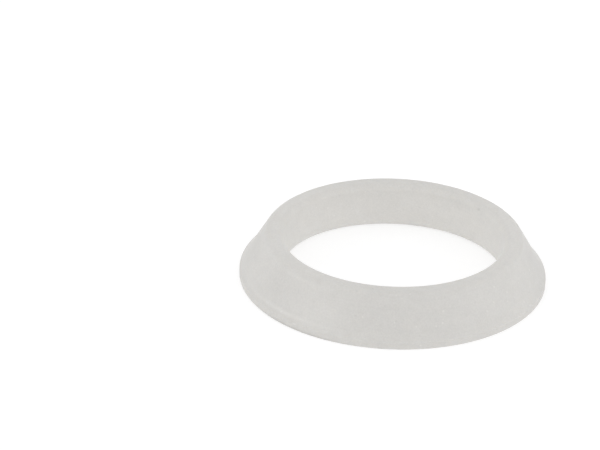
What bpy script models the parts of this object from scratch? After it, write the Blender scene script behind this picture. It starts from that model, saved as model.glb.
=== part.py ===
"""Slip joint washer: a bevelled sealing ring, moulded in one piece in natural polyethylene.

Its bore grips a 1-1/2 inch tubular waste pipe. The slip nut presses on the broad flat base and
drives the bevelled collar into the mouth of the fitting. The washer stands on that base, at
Z = 0, with its axis on Z and its collar upwards.
"""

import math

import bpy
from mathutils import Matrix, Vector

# Driving dimensions, in metres. Widths are measured outwards, along the radius.
BORE_DIAMETER = 0.0381
HEIGHT = 0.0083
BASE_WIDTH = 0.0076
LAND_WIDTH = 0.0031
RIM_HEIGHT = 0.0013
FLARE_WIDTH = 0.0013
FLARE_HEIGHT = 0.0016

# Radii of the moulded edges, in metres
BORE_TOP_RADIUS = 0.0013
BORE_FOOT_RADIUS = 0.0013
CROWN_RADIUS = 0.0013
WAIST_RADIUS = 0.0080
RIM_TOP_RADIUS = 0.0004
RIM_FOOT_RADIUS = 0.0002

# An edge radius takes at most this share of the shorter side that it meets, and a turn under
# the second value is no corner.
MOST_OF_SIDE = 0.48
LEAST_TURN_DEG = 0.01

# How finely the round stretches are divided
ARC_STEP_DEG = 15.0
LEAST_ARC_STEPS = 3
TURN_STEPS = 108

NAME = "slip_joint_washer"
MILKY_WHITE = (0.64, 0.64, 0.60, 1.0)
ROUGHNESS = 0.42
SUBSURFACE_SHARE = 0.5
SUBSURFACE_DEPTH = 0.004


def clear_scene():
    """Removes every object that the open file holds."""
    for obj in list(bpy.data.objects):
        bpy.data.objects.remove(obj, do_unlink=True)


def section_corners():
    """The section's corners as (place, edge radius), from the bore's top edge down the outer side.

    A place is (distance from the axis, height). The waist is the hollow between the collar's
    cone and the wider flare that ends in the rim.
    """
    bore = BORE_DIAMETER / 2
    rim = bore + BASE_WIDTH
    return [
        (Vector((bore, HEIGHT)), BORE_TOP_RADIUS),
        (Vector((bore + LAND_WIDTH, HEIGHT)), CROWN_RADIUS),
        (Vector((rim - FLARE_WIDTH, RIM_HEIGHT + FLARE_HEIGHT)), WAIST_RADIUS),
        (Vector((rim, RIM_HEIGHT)), RIM_TOP_RADIUS),
        (Vector((rim, 0.0)), RIM_FOOT_RADIUS),
        (Vector((bore, 0.0)), BORE_FOOT_RADIUS),
    ]


def rounded_corner(before, corner, after, radius):
    """Points of the arc that is tangent to both sides of a corner and takes its place."""
    arriving = corner - before
    leaving = after - corner
    turn = math.atan2(arriving.cross(leaving), arriving.dot(leaving))
    if math.degrees(abs(turn)) < LEAST_TURN_DEG:
        return [corner]
    longest = MOST_OF_SIDE * min(arriving.length, leaving.length)
    reach = min(radius * math.tan(abs(turn) / 2), longest)
    start = corner - arriving.normalized() * reach
    end = corner + leaving.normalized() * reach
    inward = ((start + end) / 2 - corner).normalized()
    centre = corner + inward * reach / math.sin(abs(turn) / 2)
    steps = max(LEAST_ARC_STEPS, math.ceil(math.degrees(abs(turn)) / ARC_STEP_DEG))
    spoke = start - centre
    return [
        centre + Matrix.Rotation(turn * step / steps, 2) @ spoke
        for step in range(steps + 1)
    ]


def section_outline():
    """The section's closed outline, with every corner rounded."""
    corners = section_corners()
    outline = []
    for index, (corner, radius) in enumerate(corners):
        before = corners[index - 1][0]
        after = corners[(index + 1) % len(corners)][0]
        outline += rounded_corner(before, corner, after, radius)
    return outline


def milky_polyethylene():
    """Natural polyethylene: off-white, satin, and slightly translucent."""
    material = bpy.data.materials.new("milky_polyethylene")
    material.use_nodes = True
    material.diffuse_color = MILKY_WHITE
    shader = material.node_tree.nodes["Principled BSDF"]
    shader.inputs["Base Color"].default_value = MILKY_WHITE
    shader.inputs["Roughness"].default_value = ROUGHNESS
    shader.inputs["Metallic"].default_value = 0.0
    shader.inputs["Subsurface Weight"].default_value = SUBSURFACE_SHARE
    shader.inputs["Subsurface Scale"].default_value = SUBSURFACE_DEPTH
    return material


def make_washer(collection):
    """Turns the section about Z into the ring."""
    outline = section_outline()
    points = [(place.x, 0.0, place.y) for place in outline]
    edges = [(index, (index + 1) % len(points)) for index in range(len(points))]
    profile = bpy.data.meshes.new(NAME)
    profile.from_pydata(points, edges, [])
    profile.materials.append(milky_polyethylene())
    washer = bpy.data.objects.new(NAME, profile)
    collection.objects.link(washer)

    turned = washer.modifiers.new("Turned section", "SCREW")
    turned.axis = "Z"
    turned.angle = math.tau
    turned.steps = TURN_STEPS
    turned.render_steps = TURN_STEPS
    turned.use_merge_vertices = False
    turned.use_smooth_shade = True

    shading = washer.modifiers.new("Flat faces shade flat", "WEIGHTED_NORMAL")
    shading.keep_sharp = True
    return washer


def main():
    clear_scene()
    collection = bpy.data.collections.new(NAME)
    bpy.context.scene.collection.children.link(collection)
    make_washer(collection)


main()
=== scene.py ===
"""A slip joint washer in milky polyethylene, standing on its flat base on a white studio floor."""

import math

import bpy
from mathutils import Matrix, Vector


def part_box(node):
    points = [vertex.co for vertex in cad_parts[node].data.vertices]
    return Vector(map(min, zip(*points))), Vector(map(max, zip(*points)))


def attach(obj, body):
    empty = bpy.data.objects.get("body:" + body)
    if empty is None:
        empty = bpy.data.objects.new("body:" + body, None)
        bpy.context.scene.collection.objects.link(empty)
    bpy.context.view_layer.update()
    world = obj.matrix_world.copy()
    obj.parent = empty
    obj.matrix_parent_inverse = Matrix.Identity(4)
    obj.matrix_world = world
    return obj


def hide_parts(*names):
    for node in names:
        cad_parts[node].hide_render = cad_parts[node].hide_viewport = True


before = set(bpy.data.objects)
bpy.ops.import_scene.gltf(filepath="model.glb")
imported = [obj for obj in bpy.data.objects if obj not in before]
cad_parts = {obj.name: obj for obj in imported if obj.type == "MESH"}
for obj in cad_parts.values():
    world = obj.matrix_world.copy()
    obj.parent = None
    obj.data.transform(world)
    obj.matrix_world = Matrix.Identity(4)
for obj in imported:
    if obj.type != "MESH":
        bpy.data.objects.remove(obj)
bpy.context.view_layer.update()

NODE = "slip_joint_washer"
BODY = "root"
SLOT = "milky_polyethylene"
PIECE = "milky_washer"

# Sizes in metres, as in the CAD model. The base's radius and the height come from its box.
BORE_RADIUS = 0.01905
LAND_WIDTH = 0.0031
RIM_HEIGHT = 0.0013
FLARE_WIDTH = 0.0013
FLARE_HEIGHT = 0.0016

# Radii of the moulded edges, in metres. A round takes at most MOST_OF_SIDE of a side it meets.
BORE_TOP_RADIUS = 0.0013
BORE_FOOT_RADIUS = 0.0013
CROWN_RADIUS = 0.0013
WAIST_RADIUS = 0.0080
RIM_TOP_RADIUS = 0.0004
RIM_FOOT_RADIUS = 0.0002
MOST_OF_SIDE = 0.48

# How finely the mesh is divided
ARC_STEP_DEG = 4.0
SIDE_STEP = 0.00028
TURN_STEPS = 432

# The photograph's view. The base's centre is given in the camera's own axes, which point right,
# up and back.
LENS_MM = 150.0
SENSOR_MM = 36.0
CAMERA_ELEVATION_DEG = 26.551
CAMERA_ROLL_DEG = 1.337
BASE_CENTRE_IN_VIEW = Vector((0.016076, -0.0087028, -0.43628))

# Light: an even sky and two soft lamps. A lamp's power is in watts, and its place is an azimuth
# from +X and an elevation, in degrees.
WHITE = (1.0, 1.0, 1.0, 1.0)
SKY = 0.88
LAMP_DISTANCE = 0.9
LAMP_SIZE = 0.35
LEFT_LAMP = 0.76
LEFT_LAMP_PLACE = (195.0, 20.0)
RIGHT_LAMP = 0.82
RIGHT_LAMP_PLACE = (325.0, 20.0)

# The floor is pale and glows a little. The lift is what its glow gains where it is seen.
FLOOR_REACH = 3.0
FLOOR_GREY = (0.5, 0.5, 0.5, 1.0)
FLOOR_GLOW = 0.5
FLOOR_LIFT = 0.08

# The plastic
TINT = (0.662, 0.6505, 0.628)
ROUGHNESS = 0.5
SPECULAR_LEVEL = 0.24
IOR = 1.51
SUBSURFACE_SHARE = 0.4
SUBSURFACE_RADIUS = (1.0, 0.95, 0.85)
SUBSURFACE_DEPTH = 0.001

# The plastic's patterns. A swing is how far the pattern takes the tone, or the roughness, either
# way. STREAK_SQUEEZE is the share for which distances round the ring count in the streaks.
NOISE_DETAIL = 2.0
NOISE_ROUGHNESS = 0.5
CLOUD_SCALE = 140.0
CLOUD_SWING = 0.017
MOTTLE_SCALE = 620.0
MOTTLE_SWING = 0.038
STREAK_SCALE = 1700.0
STREAK_SWING = 0.015
STREAK_SQUEEZE = 0.06
GRAIN_SCALE = 3300.0
GRAIN_NOISE_ROUGHNESS = 0.6
GRAIN_SWING = 0.080
ROUGHNESS_SWING = 0.07

# Specks: what one adds to the tone or takes from it, how finely they lie, how far one reaches in
# its cell, and the value over which a cell has one
PALE_SPECK = 0.13
PALE_SPECK_SCALE = 900.0
DARK_SPECK = 0.08
DARK_SPECK_SCALE = 760.0
SPECK_REACH = 0.22
SPECK_CHOICE = 0.42

# Relief of the surface, from the grain and a share of the streaks. The depth is in metres.
STREAK_RELIEF = 0.5
RELIEF_STRENGTH = 0.2
RELIEF_DEPTH = 0.00003

# Painted light and shade on the moulded faces, as shares of the tint: the bore is painted palest in
# place of light, its foot and the rim are painted darker as shade, and the land a touch lighter. A
# fade is the length over which one tone passes into the next, in metres.
BORE_PAINTED_LIGHT_LOW = 1.10
BORE_PAINTED_LIGHT_HIGH = 1.07
BORE_FADE = 0.0010
BORE_FOOT_PAINTED_SHADE = 0.97
BORE_FOOT_FADE = 0.0024
LAND_PAINTED_LIGHT = 1.006
LAND_FADE = 0.0004
RIM_PAINTED_SHADE = 0.984
RIM_FADE = 0.0004

# Painted shade: a slightly darker line round the rim's top edge, which dims its lit edge: what it
# adds to the tone, and its half breadth
RIM_EDGE_PAINTED_SHADE = -0.010
EDGE_WIDTH = 0.00035

# Painted light and shade: lighter and darker patches put where light and shade fall, painted
# highlight lines, painted shade and a painted contact shadow, and a small dark patch and a dark
# speck. Each has an azimuth in degrees, distance from the axis, height, half length round the ring,
# half breadth across it, and what it adds to the tone
PAINTED_LIGHT_AND_MARKS = (
    # Cone
    (179.0, 0.0242, 0.0050, 0.0054, 0.0036, -0.076),
    (357.0, 0.0243, 0.0047, 0.0058, 0.0038, -0.064),
    (215.0, 0.0240, 0.0052, 0.0028, 0.0026, -0.032),
    (241.0, 0.0247, 0.0037, 0.0042, 0.0036, 0.034),
    (268.0, 0.0242, 0.0045, 0.0085, 0.0045, -0.034),
    (312.0, 0.0250, 0.0034, 0.0050, 0.0028, 0.016),
    # Land
    (170.0, 0.0207, 0.0083, 0.0125, 0.0012, 0.050),
    (5.0, 0.0209, 0.0083, 0.0110, 0.0012, 0.050),
    (86.0, 0.0211, 0.0083, 0.0185, 0.0009, -0.028),
    (276.0, 0.0212, 0.0083, 0.0120, 0.0014, -0.014),
    # Bore
    (72.0, 0.0192, 0.0075, 0.0230, 0.0013, -0.026),
    (85.0, 0.0192, 0.0012, 0.0070, 0.0016, 0.022),
    (167.0, 0.0190, 0.0056, 0.0070, 0.0040, -0.042),
    (9.0, 0.0190, 0.0050, 0.0040, 0.0040, -0.016),
    (58.0, 0.0190, 0.0045, 0.0060, 0.0030, 0.014),
    (105.0, 0.0190, 0.0060, 0.0060, 0.0030, -0.014),
    # Rim and flare
    (188.0, 0.0266, 0.0008, 0.0070, 0.0011, -0.066),
    (350.0, 0.0266, 0.0007, 0.0075, 0.0010, -0.068),
    (328.0, 0.0260, 0.0020, 0.0030, 0.0012, 0.020),
    # Painted lines: a painted highlight on the flare with painted shade under it, a painted contact
    # shadow at the foot, and a painted highlight under the crown
    (223.0, 0.0260, 0.0020, 0.0090, 0.00030, 0.068),
    (218.0, 0.0265, 0.0014, 0.0080, 0.00045, -0.024),
    (230.0, 0.0267, 0.0000, 0.0095, 0.00040, -0.220),
    (226.0, 0.0228, 0.0073, 0.0050, 0.00030, 0.038),
    # A small dark patch under the crown, and a dark speck in the bore
    (234.5, 0.0223, 0.0079, 0.0007, 0.0007, -0.060),
    (36.8, 0.0191, 0.0075, 0.00028, 0.00028, -0.150),
)


class Nodes:
    """Adds nodes to a node tree and joins them."""

    def __init__(self, tree):
        self.tree = tree

    def add(self, kind, inputs=None, **settings):
        """Adds a node. An input is a value, or the output socket that feeds it."""
        node = self.tree.nodes.new(kind)
        for name, value in settings.items():
            setattr(node, name, value)
        for name, value in (inputs or {}).items():
            if isinstance(value, bpy.types.NodeSocket):
                self.tree.links.new(value, node.inputs[name])
            else:
                node.inputs[name].default_value = value
        return node

    def math(self, operation, first, second, third=0.0):
        """Adds a Math node and returns its result."""
        node = self.add("ShaderNodeMath", {0: first, 1: second, 2: third}, operation=operation)
        return node.outputs[0]

    def vector(self, operation, inputs):
        """Adds a Vector Math node and returns the vector that it makes."""
        return self.add("ShaderNodeVectorMath", inputs, operation=operation).outputs[0]

    def spread(self, value, low, high):
        """Takes a value from 0 to 1 to the range from low to high."""
        node = self.add("ShaderNodeMapRange", {"Value": value, "To Min": low, "To Max": high})
        return node.outputs[0]

    def noise(self, place, scale, roughness=NOISE_ROUGHNESS):
        """A soft random field from 0 to 1."""
        inputs = {"Vector": place, "Scale": scale, "Detail": NOISE_DETAIL, "Roughness": roughness}
        return self.add("ShaderNodeTexNoise", inputs).outputs["Fac"]


def rounded_corner(before, corner, after, radius):
    """Points of the arc that is tangent to both sides of a corner and takes its place."""
    arriving = corner - before
    leaving = after - corner
    turn = math.atan2(arriving.cross(leaving), arriving.dot(leaving))
    longest = MOST_OF_SIDE * min(arriving.length, leaving.length)
    reach = min(radius * math.tan(abs(turn) / 2), longest)
    start = corner - arriving.normalized() * reach
    end = corner + leaving.normalized() * reach
    inward = ((start + end) / 2 - corner).normalized()
    centre = corner + inward * reach / math.sin(abs(turn) / 2)
    steps = math.ceil(math.degrees(abs(turn)) / ARC_STEP_DEG)
    spoke = start - centre
    return [centre + Matrix.Rotation(turn * step / steps, 2) @ spoke for step in range(steps + 1)]


def section_outline():
    """The section's closed outline, from the bore's top edge down the outer side."""
    low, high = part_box(NODE)
    rim = high.x
    top = high.z
    corners = [
        (Vector((BORE_RADIUS, top)), BORE_TOP_RADIUS),
        (Vector((BORE_RADIUS + LAND_WIDTH, top)), CROWN_RADIUS),
        (Vector((rim - FLARE_WIDTH, RIM_HEIGHT + FLARE_HEIGHT)), WAIST_RADIUS),
        (Vector((rim, RIM_HEIGHT)), RIM_TOP_RADIUS),
        (Vector((rim, low.z)), RIM_FOOT_RADIUS),
        (Vector((BORE_RADIUS, low.z)), BORE_FOOT_RADIUS),
    ]
    arcs = []
    for index, (corner, radius) in enumerate(corners):
        before = corners[index - 1][0]
        after = corners[(index + 1) % len(corners)][0]
        arcs.append(rounded_corner(before, corner, after, radius))
    outline = []
    for index, arc in enumerate(arcs):
        outline += arc
        start = arc[-1]
        end = arcs[(index + 1) % len(arcs)][0]
        steps = max(1, math.ceil((end - start).length / SIDE_STEP))
        outline += [start.lerp(end, step / steps) for step in range(1, steps)]
    return outline


def ramp(low, high, value):
    """0 at low, 1 at high, and a soft step between."""
    share = min(1.0, max(0.0, (value - low) / (high - low)))
    return share * share * (3.0 - 2.0 * share)


def painted_face_tone(place, rim, top):
    """The painted light and shade of the moulded face that a point of the section lies on, as a
    share of the tint.
    """
    radius, height = place
    # Painted light: the bore paler, with painted shade darker at its foot
    bore = BORE_PAINTED_LIGHT_LOW + (BORE_PAINTED_LIGHT_HIGH - BORE_PAINTED_LIGHT_LOW) * height / top
    bore += (BORE_FOOT_PAINTED_SHADE - 1.0) * ramp(BORE_FOOT_FADE, 0.0, height)
    outside = ramp(BORE_RADIUS, BORE_RADIUS + BORE_FADE, radius)
    tone = bore + (1.0 - bore) * outside
    # Painted light: the land a touch lighter
    tone += (LAND_PAINTED_LIGHT - 1.0) * outside * ramp(top - LAND_FADE, top, height)
    # Painted shade: the rim's side darker
    if radius > rim - FLARE_WIDTH:
        half = RIM_FADE / 2
        tone += (RIM_PAINTED_SHADE - 1.0) * ramp(RIM_HEIGHT + half, RIM_HEIGHT - half, height)
        # Painted shade: a darker line along the rim's top edge
        tone += RIM_EDGE_PAINTED_SHADE * math.exp(-(((height - RIM_HEIGHT) / EDGE_WIDTH) ** 2))
    return tone


def painted_patch_tone(azimuth, place):
    """What the painted light and shade, and the dark marks, add to the tone at a point of the
    section turned to an azimuth.
    """
    total = 0.0
    for centre, radius, height, length, breadth, tone in PAINTED_LIGHT_AND_MARKS:
        along = math.remainder(azimuth - math.radians(centre), math.tau) * radius / length
        across = (place - Vector((radius, height))).length / breadth
        total += tone * math.exp(-along * along - across * across)
    return total


def make_washer(material):
    """Turns the finely divided section about Z. Its attribute "tone" holds each point's tone,
    painted light and shade included.
    """
    outline = section_outline()
    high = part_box(NODE)[1]
    painted_face_tones = [painted_face_tone(place, high.x, high.z) for place in outline]
    count = len(outline)
    points = []
    tones = []
    for step in range(TURN_STEPS):
        angle = math.tau * step / TURN_STEPS
        for place, tone in zip(outline, painted_face_tones):
            points.append((place.x * math.cos(angle), place.x * math.sin(angle), place.y))
            # Adds the painted light and shade patches and lines
            tones.append(tone + painted_patch_tone(angle, place))
    faces = []
    for step in range(TURN_STEPS):
        here = step * count
        there = (step + 1) % TURN_STEPS * count
        for index in range(count):
            after = (index + 1) % count
            faces.append((here + index, here + after, there + after, there + index))
    mesh = bpy.data.meshes.new(PIECE)
    mesh.from_pydata(points, [], faces)
    mesh.validate()
    mesh.shade_smooth()
    mesh.attributes.new("tone", "FLOAT", "POINT").data.foreach_set("value", tones)
    mesh.materials.append(material)
    washer = bpy.data.objects.new(PIECE, mesh)
    bpy.context.scene.collection.objects.link(washer)
    return washer


def specks(nodes, place, scale, field):
    """Tiny round specks, 1 at the middle and 0 outside.

    A cell has one where its own random value times the field's is high.
    """
    cells = nodes.add("ShaderNodeTexVoronoi", {"Vector": place, "Scale": scale}).outputs
    dot = nodes.math("SUBTRACT", 1.0, nodes.math("DIVIDE", cells["Distance"], SPECK_REACH))
    dot = nodes.math("MAXIMUM", dot, 0.0)
    pick = nodes.add("ShaderNodeSeparateXYZ", {0: cells["Color"]}).outputs[0]
    kept = nodes.math("GREATER_THAN", nodes.math("MULTIPLY", pick, field), SPECK_CHOICE)
    return nodes.math("MULTIPLY", dot, kept)


def round_the_ring(nodes, place):
    """Coordinates that change little round the ring, so that a pattern there runs in streaks."""
    axes = nodes.add("ShaderNodeSeparateXYZ", {0: place}).outputs
    outward = nodes.add("ShaderNodeCombineXYZ", {0: axes[0], 1: axes[1]}).outputs[0]
    length = nodes.add("ShaderNodeVectorMath", {0: outward}, operation="LENGTH")
    across = nodes.math("SUBTRACT", length.outputs["Value"], axes[2])
    around = nodes.vector("SCALE", {0: outward, "Scale": STREAK_SQUEEZE})
    ring = nodes.add("ShaderNodeCombineXYZ", {2: across}).outputs[0]
    return nodes.vector("ADD", {0: around, 1: ring})


def milky_polyethylene():
    """Natural polyethylene: milky, softly translucent and satin.

    Its tone carries painted light and shade from face to face and in patches, with soft clouds,
    faint streaks round the ring, specks and a fine grain, which also roughens it.
    """
    material = bpy.data.materials.new(SLOT)
    material.use_nodes = True
    tree = material.node_tree
    nodes = Nodes(tree)
    shader = tree.nodes["Principled BSDF"]
    place = nodes.add("ShaderNodeTexCoord").outputs["Object"]
    clouds = nodes.noise(place, CLOUD_SCALE)
    mottle = nodes.noise(place, MOTTLE_SCALE)
    grain = nodes.noise(place, GRAIN_SCALE, GRAIN_NOISE_ROUGHNESS)
    streaks = nodes.noise(round_the_ring(nodes, place), STREAK_SCALE)
    pale = specks(nodes, place, PALE_SPECK_SCALE, clouds)
    dark = specks(nodes, place, DARK_SPECK_SCALE, mottle)
    tone = nodes.add("ShaderNodeAttribute", attribute_name="tone").outputs["Fac"]
    tone = nodes.math("MULTIPLY_ADD", pale, PALE_SPECK, tone)
    tone = nodes.math("MULTIPLY_ADD", dark, -DARK_SPECK, tone)
    for field, swing in (
        (clouds, CLOUD_SWING),
        (mottle, MOTTLE_SWING),
        (streaks, STREAK_SWING),
        (grain, GRAIN_SWING),
    ):
        tone = nodes.math("ADD", tone, nodes.spread(field, -swing, swing))
    tree.links.new(nodes.vector("SCALE", {0: TINT, "Scale": tone}), shader.inputs["Base Color"])
    gloss = nodes.spread(grain, ROUGHNESS - ROUGHNESS_SWING, ROUGHNESS + ROUGHNESS_SWING)
    tree.links.new(gloss, shader.inputs["Roughness"])
    relief = nodes.math("MULTIPLY_ADD", streaks, STREAK_RELIEF, grain)
    bump = nodes.add(
        "ShaderNodeBump",
        {"Height": relief, "Strength": RELIEF_STRENGTH, "Distance": RELIEF_DEPTH},
    )
    tree.links.new(bump.outputs[0], shader.inputs["Normal"])
    shader.inputs["Subsurface Weight"].default_value = SUBSURFACE_SHARE
    shader.inputs["Subsurface Radius"].default_value = SUBSURFACE_RADIUS
    shader.inputs["Subsurface Scale"].default_value = SUBSURFACE_DEPTH
    shader.inputs["IOR"].default_value = IOR
    shader.inputs["Specular IOR Level"].default_value = SPECULAR_LEVEL
    return material


def seen_directly(nodes):
    """1 for a ray from the camera, also by way of gloss or clear material, and 0 for other rays."""
    path = nodes.add("ShaderNodeLightPath")
    either = nodes.math("MAXIMUM", path.outputs["Is Camera Ray"], path.outputs["Is Glossy Ray"])
    return nodes.math("MAXIMUM", either, path.outputs["Is Transmission Ray"])


def make_floor():
    """A wide floor that shows as white and keeps the washer's shadow."""
    mesh = bpy.data.meshes.new("studio_floor")
    corners = [
        (-FLOOR_REACH, -FLOOR_REACH, 0.0),
        (FLOOR_REACH, -FLOOR_REACH, 0.0),
        (FLOOR_REACH, FLOOR_REACH, 0.0),
        (-FLOOR_REACH, FLOOR_REACH, 0.0),
    ]
    mesh.from_pydata(corners, [], [(0, 1, 2, 3)])
    floor = bpy.data.objects.new("studio_floor", mesh)
    bpy.context.scene.collection.objects.link(floor)
    material = bpy.data.materials.new("studio_white")
    material.use_nodes = True
    tree = material.node_tree
    tree.nodes.clear()
    nodes = Nodes(tree)
    matte = nodes.add("ShaderNodeBsdfDiffuse", {"Color": FLOOR_GREY})
    lift = nodes.math("MULTIPLY_ADD", seen_directly(nodes), FLOOR_LIFT, FLOOR_GLOW)
    glow = nodes.add("ShaderNodeEmission", {"Strength": lift})
    both = nodes.add("ShaderNodeAddShader", {0: matte.outputs[0], 1: glow.outputs[0]})
    nodes.add("ShaderNodeOutputMaterial", {"Surface": both.outputs[0]})
    mesh.materials.append(material)


def make_world():
    """White where it is seen, and a soft even sky as light."""
    world = bpy.data.worlds.new("studio")
    world.use_nodes = True
    tree = world.node_tree
    tree.nodes.clear()
    nodes = Nodes(tree)
    sky = nodes.add("ShaderNodeBackground", {"Color": WHITE, "Strength": SKY})
    white = nodes.add("ShaderNodeBackground", {"Color": WHITE, "Strength": 1.0})
    mix = nodes.add(
        "ShaderNodeMixShader", {0: seen_directly(nodes), 1: sky.outputs[0], 2: white.outputs[0]}
    )
    nodes.add("ShaderNodeOutputWorld", {"Surface": mix.outputs[0]})
    bpy.context.scene.world = world


def add_lamp(name, place, power):
    """A soft square lamp that faces the washer."""
    azimuth, elevation = (math.radians(angle) for angle in place)
    level = LAMP_DISTANCE * math.cos(elevation)
    data = bpy.data.lights.new(name, "AREA")
    data.size = LAMP_SIZE
    data.energy = power
    lamp = bpy.data.objects.new(name, data)
    lamp.location = (
        level * math.cos(azimuth),
        level * math.sin(azimuth),
        LAMP_DISTANCE * math.sin(elevation),
    )
    lamp.rotation_euler = (-lamp.location).to_track_quat("-Z", "Y").to_euler()
    bpy.context.scene.collection.objects.link(lamp)


def make_camera():
    """A long lens in front of the washer and above it, turned and placed as in the photograph."""
    data = bpy.data.cameras.new("camera")
    data.lens = LENS_MM
    data.sensor_width = SENSOR_MM
    camera = bpy.data.objects.new("camera", data)
    tilt = Matrix.Rotation(math.radians(90.0 - CAMERA_ELEVATION_DEG), 3, "X")
    turn = tilt @ Matrix.Rotation(math.radians(CAMERA_ROLL_DEG), 3, "Z")
    camera.matrix_world = Matrix.Translation(-(turn @ BASE_CENTRE_IN_VIEW)) @ turn.to_4x4()
    bpy.context.scene.collection.objects.link(camera)
    bpy.context.scene.camera = camera


washer = make_washer(milky_polyethylene())
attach(washer, BODY)
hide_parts(NODE)
make_floor()
make_world()
add_lamp("left_softbox", LEFT_LAMP_PLACE, LEFT_LAMP)
add_lamp("right_softbox", RIGHT_LAMP_PLACE, RIGHT_LAMP)
make_camera()
bpy.context.scene.view_settings.view_transform = "Standard"
